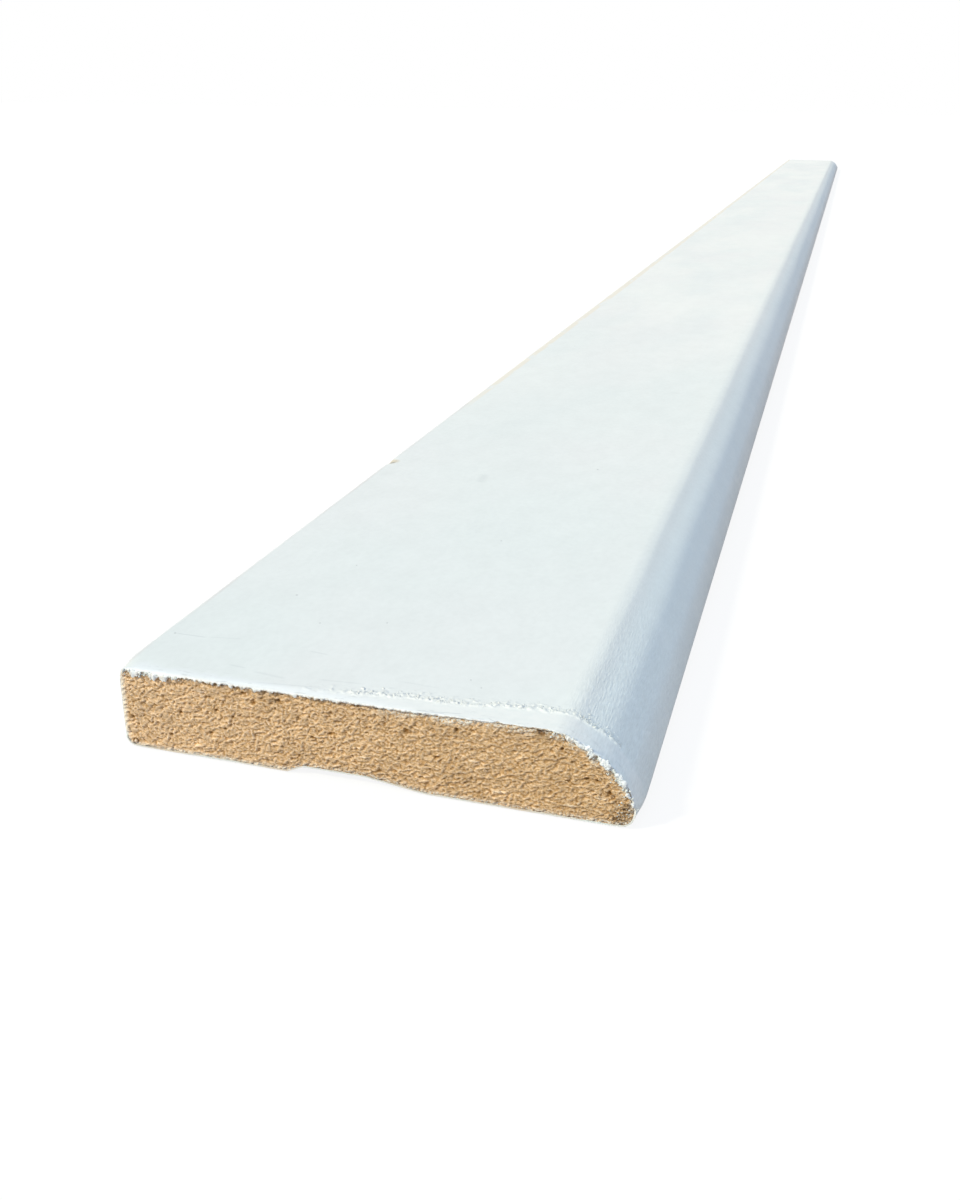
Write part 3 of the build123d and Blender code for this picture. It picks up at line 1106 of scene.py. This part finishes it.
WHITE = (1, 1, 1, 1)
PRIMER = (0.815, 0.841, 0.837, 1)
PRIMER_BAND_LIGHT = (0.895, 0.893, 0.88, 1)
PRIMER_SHADE = (0.79, 0.82, 0.82, 1)
PRIMER_WARM = (0.93, 0.915, 0.893, 1)
PRIMER_LILAC = (0.84, 0.822, 0.828, 1)
FLAKE_PAINTED_LIGHT = (0.88, 0.905, 0.945, 1)
TORN_BOARD = (0.42, 0.29, 0.17, 1)
SPECK_GREY = (0.33, 0.34, 0.36, 1)
SMUDGE_GREY = (0.62, 0.63, 0.62, 1)
SCUFF_GREY = (0.45, 0.46, 0.47, 1)
ARRIS_DIRT = (0.72, 0.68, 0.68, 1)
CHIP_BOARD = (0.66, 0.56, 0.42, 1)
CHIP_DARK = (0.27, 0.26, 0.25, 1)
SCRATCH_AND_SHADOW_GREY = (0.36, 0.39, 0.42, 1)
WORN_ARRIS = (0.87, 0.805, 0.71, 1)
NOSE_SKY_LIGHT = (1.03, 1.055, 1.06, 1)
HEEL_PAINTED_SHADE = (0.895, 0.865, 0.845, 1)
HEEL_BOUNCE_LIGHT = (1.0, 0.93, 0.86, 1)
# The bare board's crest, hollow and pit colours are painted light and shade that follow the relief.
MDF_CREST_LIGHT = (0.92, 0.735, 0.54, 1)
MDF_MID = (0.695, 0.455, 0.235, 1)
MDF_HOLLOW_SHADE = (0.29, 0.145, 0.042, 1)
SEAM_SHADOW = (0.115, 0.08, 0.05, 1)
SQUARE_SIDE = (1.105, 1.105, 1.16, 1)
ROUND_SIDE = (0.93, 0.905, 0.865, 1)
FLECK_DARK = (0.81, 0.775, 0.71, 1)
FLECK_LIGHT = (1.18, 1.21, 1.29, 1)
MDF_PIT_SHADE = (0.10, 0.06, 0.03, 1)
MDF_STAIN = (0.12, 0.07, 0.035, 1)
MDF_DUST = (0.86, 0.83, 0.775, 1)
MDF_RIM_DUST_AND_LIGHT = (0.95, 0.885, 0.785, 1)

# Specks on the face: distance from the square edge, distance from the near cut, radius.
SPECKS = (
    (16.7, 40.3, 0.35), (2.6, 15.9, 0.3), (26.9, 28.6, 0.25), (39.3, 32.6, 0.25), (62.0, 13.7, 0.22),
    (64.6, 11.3, 0.22), (22.0, 60.0, 0.25), (48.0, 85.0, 0.3), (58.0, 150.0, 0.4),
)
# Smudges on the face, with how strongly each shows.
SMUDGES = (
    (36.0, 146.0, 9.0, 0.08), (65.6, 253.0, 3.0, 0.15), (62.0, 225.0, 8.0, 0.06), (3.5, 128.0, 2.5, 0.12),
)

# Fine scratches on the face, and in the last three painted shadow lines by the cut, where the coat's edge
# lifts:
# distance from the square edge and back from the cut at both ends, half width, and how strongly each shows.
SCRATCHES_AND_SHADOW_LINES = (
    (2.5, 15.9, 9.5, 15.9, 0.3, 0.20), (9.4, 16.1, 16.1, 17.4, 0.3, 0.10),
    (30.0, 16.2, 34.2, 15.7, 0.35, 0.14), (18.6, 6.6, 22.3, 6.2, 0.35, 0.14),
    (24.0, 5.4, 31.0, 4.4, 0.5, 0.12), (36.0, 5.8, 45.0, 6.6, 0.4, 0.10),
    (50.0, 9.5, 58.0, 9.0, 0.4, 0.08), (30.3, 127.5, 29.4, 136.0, 1.6, 0.13),
    (25.3, 1.44, 38.7, 3.1, 0.3, 0.13), (56.05, 0.3, 61.9, 0.42, 0.13, 0.5),
    (58.6, 0.48, 64.5, 1.38, 0.12, 0.5), (68.74, 1.21, 70.36, 0.2, 0.12, 0.5),
)


def straight_mark(nodes, start_across, start_along, end_across, end_along, half_width):
    """A soft-edged straight mark on the face, from one place to another."""
    run, rise = end_across - start_across, end_along - start_along
    length = math.hypot(run, rise)
    middle_x = ((start_across + end_across) / 2 - HALF_WIDTH) * METRE
    middle_y = (NEAR_Y + (start_along + end_along) / 2) * METRE
    x = nodes.math("SUBTRACT", nodes.x, middle_x)
    y = nodes.math("SUBTRACT", nodes.y, middle_y)
    u = nodes.math("ADD", nodes.times(x, run / length), nodes.times(y, rise / length))
    v = nodes.math("SUBTRACT", nodes.times(y, run / length), nodes.times(x, rise / length))
    inside = nodes.span(nodes.math("ABSOLUTE", v), 0.2 * half_width, half_width, 1.0, 0.0)
    within = nodes.span(nodes.math("ABSOLUTE", u), 0.35 * length, 0.5 * length, 1.0, 0.0)
    return nodes.times(inside, within)


def spot(nodes, across, along, radius, soft):
    """A round mask on the face at one place."""
    node = nodes.add("ShaderNodeVectorMath", operation="DISTANCE")
    nodes.link(nodes.coordinates, node.inputs[0])
    node.inputs[1].default_value = Vector((across - HALF_WIDTH, NEAR_Y + along, THICKNESS)) * METRE
    return nodes.span(node.outputs["Value"], radius * (1 - soft), radius, 1.0, 0.0)


def coat_colour(nodes):
    """The primer's own colour, mottled and torn, with painted light on the band, the torn edge and the
    flakes, and painted shade on the crumbs.
    """
    broad = nodes.between(nodes.noise((14, 7, 14), 3.0), 0.35, 0.68)
    colour = nodes.mix(broad, PRIMER, PRIMER_SHADE)
    # Away from the cut the face is made a touch lighter and warmer, in patches, and faintly lilac in others.
    on_face = nodes.span(nodes.x, CREST_X - 3, CREST_X + 3, 1.0, 0.0)
    warm = nodes.times(nodes.from_cut(90, 420, 0.0, 0.75), nodes.math("MAXIMUM", on_face, 0.55))
    patch = nodes.between(nodes.noise((30, 9, 30), 3.0), 0.35, 0.6, 0.35, 1.0)
    colour = nodes.mix(nodes.times(warm, patch), colour, PRIMER_WARM)
    clouds = nodes.between(nodes.noise((22, 13, 22), 2.0), 0.42, 0.66, 0.0, 0.35)
    colour = nodes.mix(nodes.times(clouds, on_face), colour, PRIMER_LILAC)
    fine = nodes.noise((170, 110, 170), 2.0)
    colour = nodes.tinted(colour, nodes.between(fine, 0.3, 0.7, 0.985, 1.012))
    grit = nodes.noise((900, 600, 900), 2.0)
    colour = nodes.tinted(colour, nodes.between(grit, 0.3, 0.7, 0.982, 1.014))
    # Painted light: the band of under-coat and the coat's torn edge are lightened in patches, for the light
    # their tilt catches.
    mottle = nodes.between(nodes.noise((500, 700, 500), 3.0), 0.36, 0.64, 0.3, 0.75)
    colour = nodes.mix(nodes.times(nodes.attribute("band"), mottle), colour, PRIMER_BAND_LIGHT)
    # Painted light: the fringe by the cut, the torn edge and the large chips are lifted to a bluish white,
    # for the light they catch.
    colour = nodes.mix(nodes.attribute("flake_light"), colour, FLAKE_PAINTED_LIGHT)
    # Painted shade: the ridge's crumbs and the loose crumbs are greyed a little, to hold down the light they
    # catch.
    colour = nodes.tinted(colour, nodes.between(nodes.attribute("grain"), 0.0, 1.0, 1.0, 0.9))
    spots = nodes.between(nodes.noise((1500, 1500, 1500), 3.0, 0.65), 0.47, 0.58)
    return nodes.mix(nodes.times(nodes.attribute("torn"), spots, 0.85), colour, TORN_BOARD)


def with_face_marks(nodes, colour):
    """The smudges, scratches, painted shadow lines, specks and scuffs over a colour."""
    for across, back, radius, strength in SMUDGES:
        faint = nodes.times(spot(nodes, across, back, radius, 0.9), strength)
        colour = nodes.mix(faint, colour, SMUDGE_GREY)
    face = nodes.below_face(1.0, 0.6)
    # The last three of these marks are painted shadow lines by the cut.
    for mark in SCRATCHES_AND_SHADOW_LINES:
        colour = nodes.mix(nodes.times(straight_mark(nodes, *mark[:5]), face, mark[5]), colour, SCRATCH_AND_SHADOW_GREY)
    for across, back, radius in SPECKS:
        colour = nodes.mix(nodes.times(spot(nodes, across, back, radius, 0.6), 0.6), colour, SPECK_GREY)

    # Random pinpoints all along the board.
    dots = nodes.add("ShaderNodeTexVoronoi")
    dots.inputs["Scale"].default_value = 1.0
    nodes.link(nodes.place((60, 60, 60)), dots.inputs["Vector"])
    near_dot = nodes.between(dots.outputs["Distance"], 0.008, 0.016, 1.0, 0.0)
    chosen = nodes.add("ShaderNodeSeparateColor")
    nodes.link(dots.outputs["Color"], chosen.inputs[0])
    rare = nodes.math("GREATER_THAN", chosen.outputs[0], 0.7)
    colour = nodes.mix(nodes.times(near_dot, rare, 0.45), colour, SPECK_GREY)

    # Fine scuffs beside the cut, drawn out across the board.
    scuffs = nodes.between(nodes.noise((420, 1500, 420), 3.0, 0.6), 0.60, 0.68)
    return nodes.mix(nodes.times(scuffs, nodes.from_cut(0.4, 5.0, 0.35, 0.0)), colour, SCUFF_GREY)


def with_arris_wear(nodes, colour):
    """The long arris over a colour: dirty, chipped in one place, and rubbed through to the board
    further along."""
    high = nodes.below_face(1.4, 0.7)
    dirty = nodes.between(nodes.noise((500, 45, 500), 3.0), 0.38, 0.6, 0.1, 0.6)
    outer = nodes.from_square(0.9, 1.5, 1.0, 0.0)
    colour = nodes.mix(nodes.times(outer, high, dirty), colour, ARRIS_DIRT)
    widening = nodes.from_cut(240, 520, 0.1 * METRE, 1.2 * METRE)
    inward = nodes.math("SUBTRACT", nodes.x, widening)
    edge = nodes.span(inward, 2.0 - HALF_WIDTH, 2.9 - HALF_WIDTH, 1.0, 0.0)
    patchy = nodes.between(nodes.noise((300, 60, 300), 3.0), 0.30, 0.48)
    worn_through = nodes.times(edge, high, nodes.from_cut(205, 235), patchy, 0.9)
    colour = nodes.mix(worn_through, colour, WORN_ARRIS)
    chip = nodes.times(spot(nodes, 0.8, CHIP_ALONG + 0.8, 2.6, 0.5), 0.8)
    colour = nodes.mix(chip, colour, CHIP_BOARD)
    chip = nodes.times(spot(nodes, 1.3, CHIP_ALONG - 0.3, 1.2, 0.6), 0.85)
    return nodes.mix(chip, colour, CHIP_DARK)


def with_edge_tints(nodes, colour):
    """The painted shade and light of the rounded edge, and the back's thin coat, over a colour."""
    # Painted shade: towards the heel the coat is darkened and warmed, for the shade there and the floor's
    # warm bounce.
    heel_shade = nodes.times(nodes.to_tip(2.6, 0.15), nodes.from_cut(5, 110, 0.35, 1.0))
    colour = nodes.multiplied(colour, nodes.mix(heel_shade, WHITE, HEEL_PAINTED_SHADE))
    # Painted light: further along, the heel's outline takes the floor's warm bounce.
    heel = nodes.times(nodes.to_tip(0.45, 0.1), nodes.from_cut(280, 480, 0.0, 0.8))
    colour = nodes.mix(heel, colour, HEEL_BOUNCE_LIGHT)
    # Painted light: the middle of the nose is made a little lighter and bluer, for the cool sky light on it.
    middle = nodes.times(nodes.to_tip(11.5, 9.0), nodes.to_tip(3.5, 1.5, 1.0, 0.0))
    colour = nodes.multiplied(colour, nodes.mix(middle, WHITE, NOSE_SKY_LIGHT))
    # The back has one thin coat, and the board shows through it.
    under = nodes.span(nodes.z, 0.2, 1.8, 1.0, 0.0)
    thin = nodes.between(nodes.noise((90, 40, 90), 4.0), 0.42, 0.62)
    return nodes.mix(nodes.times(under, thin, 0.45), colour, MDF_MID)


def primer_material():
    """White primer: mottled, faintly rough, with specks, smudges and the worn arris."""
    material = bpy.data.materials.new("white_primer")
    nodes = Nodes(material)
    colour = with_face_marks(nodes, coat_colour(nodes))
    colour = with_edge_tints(nodes, with_arris_wear(nodes, colour))
    # Faint streaks run along the nose, off the band of under-coat, and fade away from the cut.
    brush = nodes.noise((3000, 520, 3000), 3.0)
    nose = nodes.times(nodes.span(nodes.x, CREST_X - 1, CREST_X + 3), nodes.from_cut(12, 85, 1.0, 0.15))
    faint = nodes.math("SUBTRACT", nodes.times(brush, 2.0), 1.0)
    faint = nodes.math("ADD", nodes.times(faint, nose, 0.16), 1.0)
    nodes.link(nodes.tinted(colour, faint), nodes.shader["Base Color"])
    rough = nodes.between(nodes.noise((220, 160, 220), 3.0), 0.3, 0.7, 0.5, 0.62)
    nodes.link(rough, nodes.shader["Roughness"])
    nodes.shader["Specular IOR Level"].default_value = 0.35

    normal = nodes.bump(nodes.noise((1100, 900, 1100), 2.0), 0.02, 0.55)
    off_band = nodes.math("SUBTRACT", 1.0, nodes.attribute("band"))
    normal = nodes.bump(nodes.times(brush, nose, off_band), 0.16, 1.0, normal)
    crumbs = nodes.times(nodes.noise((2600, 2600, 2600), 2.0), nodes.attribute("crust"))
    nodes.link(nodes.bump(crumbs, 0.5, 1.0, normal), nodes.shader["Normal"])
    return material


def mdf_material():
    """Bare sawn MDF, with shade painted dark between the fibre bundles and light painted on them, dusty by
    the coat.
    """
    material = bpy.data.materials.new("raw_mdf")
    nodes = Nodes(material)
    cavity = nodes.attribute("cavity")
    # Painted shade and light: darker and browner down the relief's hollows, darkest in its pits, and lighter
    # on its crests.
    colour = nodes.mix(nodes.between(cavity, -0.03, 0.10), MDF_MID, MDF_CREST_LIGHT)
    colour = nodes.mix(nodes.between(cavity, 0.0, -0.15), colour, MDF_HOLLOW_SHADE)
    colour = nodes.mix(nodes.between(cavity, -0.22, -0.45), colour, MDF_PIT_SHADE)
    dots = nodes.between(nodes.noise((2200, 2200, 2600), 3.0, 0.6), 0.42, 0.56, 0.3, 0.95)
    # Painted shadow in patches along the seam under the coat's lip, over a real opened seam.
    colour = nodes.mix(nodes.times(nodes.attribute("seam"), dots), colour, SEAM_SHADOW)
    tone = nodes.between(nodes.attribute("tone"), -2.0, 2.0, 0.86, 1.14)
    colour = nodes.tinted(colour, tone)
    fleck = nodes.noise((2600, 2600, 5200), 3.0, 0.6)
    colour = nodes.multiplied(colour, nodes.mix(nodes.between(fleck, 0.3, 0.7), FLECK_DARK, FLECK_LIGHT))
    # The board is made lighter and bluer towards its square edge, and darker and warmer towards its rounded
    # edge.
    towards_round = nodes.span(nodes.x, -HALF_WIDTH, HALF_WIDTH)
    colour = nodes.multiplied(colour, nodes.mix(towards_round, SQUARE_SIDE, ROUND_SIDE))
    broad = nodes.noise((90, 90, 160), 2.0)
    colour = nodes.tinted(colour, nodes.between(broad, 0.3, 0.7, 0.93, 1.07))
    patches = nodes.noise((380, 380, 560), 3.0)
    colour = nodes.tinted(colour, nodes.between(patches, 0.3, 0.7, 0.9, 1.1))
    # Primer dust has paled the bare board along the square edge and along its lower edge.
    # Along the square edge the paling is partly painted highlight, where the rubbed corner catches the light.
    low = nodes.times(nodes.span(nodes.z, 0.15, 1.0, 0.55, 0.0), nodes.span(nodes.x, -30, 10, 1.0, 0.3))
    paled = nodes.math("MAXIMUM", nodes.from_square(0.25, 1.35, 0.95, 0.0), low)
    powder = nodes.between(nodes.noise((1900, 1900, 1900), 3.0, 0.6), 0.36, 0.56, 0.45, 1.0)
    colour = nodes.mix(nodes.times(paled, powder), colour, MDF_RIM_DUST_AND_LIGHT)
    flecked = nodes.between(nodes.noise((2400, 2400, 3200), 3.0, 0.6), 0.40, 0.58, 0.2, 0.85)
    colour = nodes.mix(nodes.times(nodes.attribute("stain"), flecked), colour, MDF_STAIN)
    grains = nodes.between(nodes.noise((2700, 2700, 3300), 3.0, 0.6), 0.44, 0.56)
    dusty = nodes.times(nodes.attribute("frost"), grains, clamp=True)
    nodes.link(nodes.mix(dusty, colour, MDF_DUST), nodes.shader["Base Color"])
    nodes.link(nodes.between(fleck, 0.3, 0.7, 0.82, 0.97), nodes.shader["Roughness"])
    nodes.shader["Specular IOR Level"].default_value = 0.15
    calm = nodes.math("SUBTRACT", 1.0, nodes.times(paled, 0.8))
    fuzz = nodes.times(nodes.noise((2600, 2600, 4600), 4.0, 0.65), calm)
    nodes.link(nodes.bump(fuzz, 0.3, 0.9), nodes.shader["Normal"])
    return material


FLOOR_HALF = 30.0
FLOOR_DROP = 0.0003

# What the board and the lights get back from the floor, and what the camera sees of it.
FLOOR_BOUNCE = (0.345, 0.305, 0.255, 1)
FLOOR_GREY = (0.14, 0.14, 0.14, 1)
FLOOR_GLOW = 0.88


def floor_material():
    """A pale floor. The camera sees it almost white, with the board's shadow left on it."""
    material = bpy.data.materials.new("pale_floor")
    nodes = Nodes(material, "ShaderNodeOutputMaterial")
    glow = nodes.plain("ShaderNodeEmission", WHITE)
    glow.inputs["Strength"].default_value = FLOOR_GLOW
    shown = nodes.add("ShaderNodeAddShader")
    nodes.link(glow.outputs[0], shown.inputs[0])
    nodes.link(nodes.plain("ShaderNodeBsdfDiffuse", FLOOR_GREY).outputs[0], shown.inputs[1])
    nodes.show(nodes.plain("ShaderNodeBsdfDiffuse", FLOOR_BOUNCE), shown)
    return material


def make_floor():
    """A level floor, just below the board."""
    mesh = bpy.data.meshes.new("floor")
    corners = [(-1, -1), (1, -1), (1, 1), (-1, 1)]
    mesh.from_pydata([(a * FLOOR_HALF, b * FLOOR_HALF, -FLOOR_DROP) for a, b in corners], [], [(0, 1, 2, 3)])
    mesh.materials.append(floor_material())
    floor = add_object("floor", mesh)


SKY_FILL = (0.407, 0.50, 0.63, 1)


def make_world():
    """A white background, and a cool even fill on the object."""
    world = bpy.data.worlds.new("studio")
    bpy.context.scene.world = world
    nodes = Nodes(world, "ShaderNodeOutputWorld")
    nodes.show(nodes.plain("ShaderNodeBackground", SKY_FILL), nodes.plain("ShaderNodeBackground", WHITE))


# The lamps' colours, and the places of the two soft lamps, in metres.
KEY_COLOUR, FRONT_COLOUR = (1.0, 0.93, 0.675), (1.0, 0.97, 0.9)
SIDE_COLOUR, LOW_COLOUR = (0.82, 0.92, 1.0), (0.80, 0.95, 1.0)
CUT = NEAR_Y * METRE
SIDE_PLACE, SIDE_TARGET = (0.42, CUT - 0.42, 0.30), (0.03, CUT + 0.03, 0.01)
LOW_PLACE, LOW_TARGET = (0.19, CUT - 0.01, 0.06), (0.04, CUT + 0.03, 0.01)


def turned_lamp(name, kind, direction, front, strength, colour):
    """A lamp whose front axis points in a direction, and its object."""
    lamp = bpy.data.lights.new(name, kind)
    lamp.energy = strength
    lamp.color = colour
    holder = add_object(name, lamp)
    holder.rotation_mode = "QUATERNION"
    holder.rotation_quaternion = direction.to_track_quat(front, "Y")
    return lamp, holder


def make_sun(name, towards, strength, colour, spread):
    """A lamp that lights evenly along the whole board. towards points from the board to it."""
    lamp, _ = turned_lamp(name, "SUN", Vector(towards), "Z", strength, colour)
    lamp.angle = math.radians(spread)


def make_softbox(name, place, target, size, watts, colour):
    """A square lamp close to the near end, in metres, turned to face the target."""
    lamp, holder = turned_lamp(name, "AREA", Vector(target) - Vector(place), "-Z", watts, colour)
    lamp.shape = "SQUARE"
    lamp.size = size
    holder.location = place


# The camera, fitted to the photograph: its place from the near top corner of the square edge,
# its turn from straight along the board, its tilt down and its roll.
CAMERA_PLACE = (115.07, -165.94, 93.39)
CAMERA_TURN = math.radians(16.02)
CAMERA_TILT = math.radians(22.64)
CAMERA_ROLL = math.radians(0.695)
FOCAL_PIXELS = 1187.6
FRAME_LONG_SIDE = 1200


def make_camera():
    """The camera, turned as it was fitted."""
    data = bpy.data.cameras.new("camera")
    data.sensor_fit = "AUTO"
    data.sensor_width = 36.0
    data.lens = FOCAL_PIXELS / FRAME_LONG_SIDE * data.sensor_width
    data.clip_start = 0.01
    data.clip_end = 100.0
    camera = add_object("camera", data)
    corner = Vector((-HALF_WIDTH, NEAR_Y, THICKNESS))
    camera.location = (corner + Vector(CAMERA_PLACE)) * METRE
    ahead = Vector((
        -math.sin(CAMERA_TURN) * math.cos(CAMERA_TILT),
        math.cos(CAMERA_TURN) * math.cos(CAMERA_TILT),
        -math.sin(CAMERA_TILT),
    ))
    level = Vector((math.cos(CAMERA_TURN), math.sin(CAMERA_TURN), 0))
    above = level.cross(ahead)
    right = level * math.cos(CAMERA_ROLL) + above * math.sin(CAMERA_ROLL)
    above = right.cross(ahead)
    camera.rotation_mode = "QUATERNION"
    camera.rotation_quaternion = Matrix((right, above, -ahead)).transposed().to_quaternion()
    bpy.context.scene.camera = camera


# The grid steps of the two sawn ends, across and up.
NEAR_GRID, FAR_GRID = (0.147, 0.137), (0.4, 0.35)
NEAR_SEED, FAR_SEED = 11, 23
NEAR_FIBRES, FAR_FIBRES = 260, 120
NEAR_FIBRE_SEED, FAR_FIBRE_SEED = 91, 92

make_camera()
white_primer = primer_material()
raw_mdf = mdf_material()

make_primed_skin(white_primer)
near_relief = make_sawn_end("sawn_end_near", NEAR_Y, -1, NEAR_GRID, NEAR_SEED, raw_mdf, True)
far_relief = make_sawn_end("sawn_end_far", FAR_Y, 1, FAR_GRID, FAR_SEED, raw_mdf, False)
make_coat_edge(white_primer)
make_primer_chips(white_primer)
make_loose_fibres("loose_fibres_near", NEAR_Y, -1, near_relief, NEAR_FIBRES, NEAR_FIBRE_SEED, raw_mdf)
make_loose_fibres("loose_fibres_far", FAR_Y, 1, far_relief, FAR_FIBRES, FAR_FIBRE_SEED, raw_mdf)

make_floor()
make_world()
make_sun("key", (-0.62, -0.50, 0.60), 2.62, KEY_COLOUR, 6.0)
make_sun("front", (-0.15, -0.95, 0.2), 0.5, FRONT_COLOUR, 60.0)
make_softbox("side", SIDE_PLACE, SIDE_TARGET, 0.5, 0.32, SIDE_COLOUR)
make_softbox("low", LOW_PLACE, LOW_TARGET, 0.12, 0.02, LOW_COLOUR)

scene = bpy.context.scene
scene.view_settings.view_transform = "Standard"
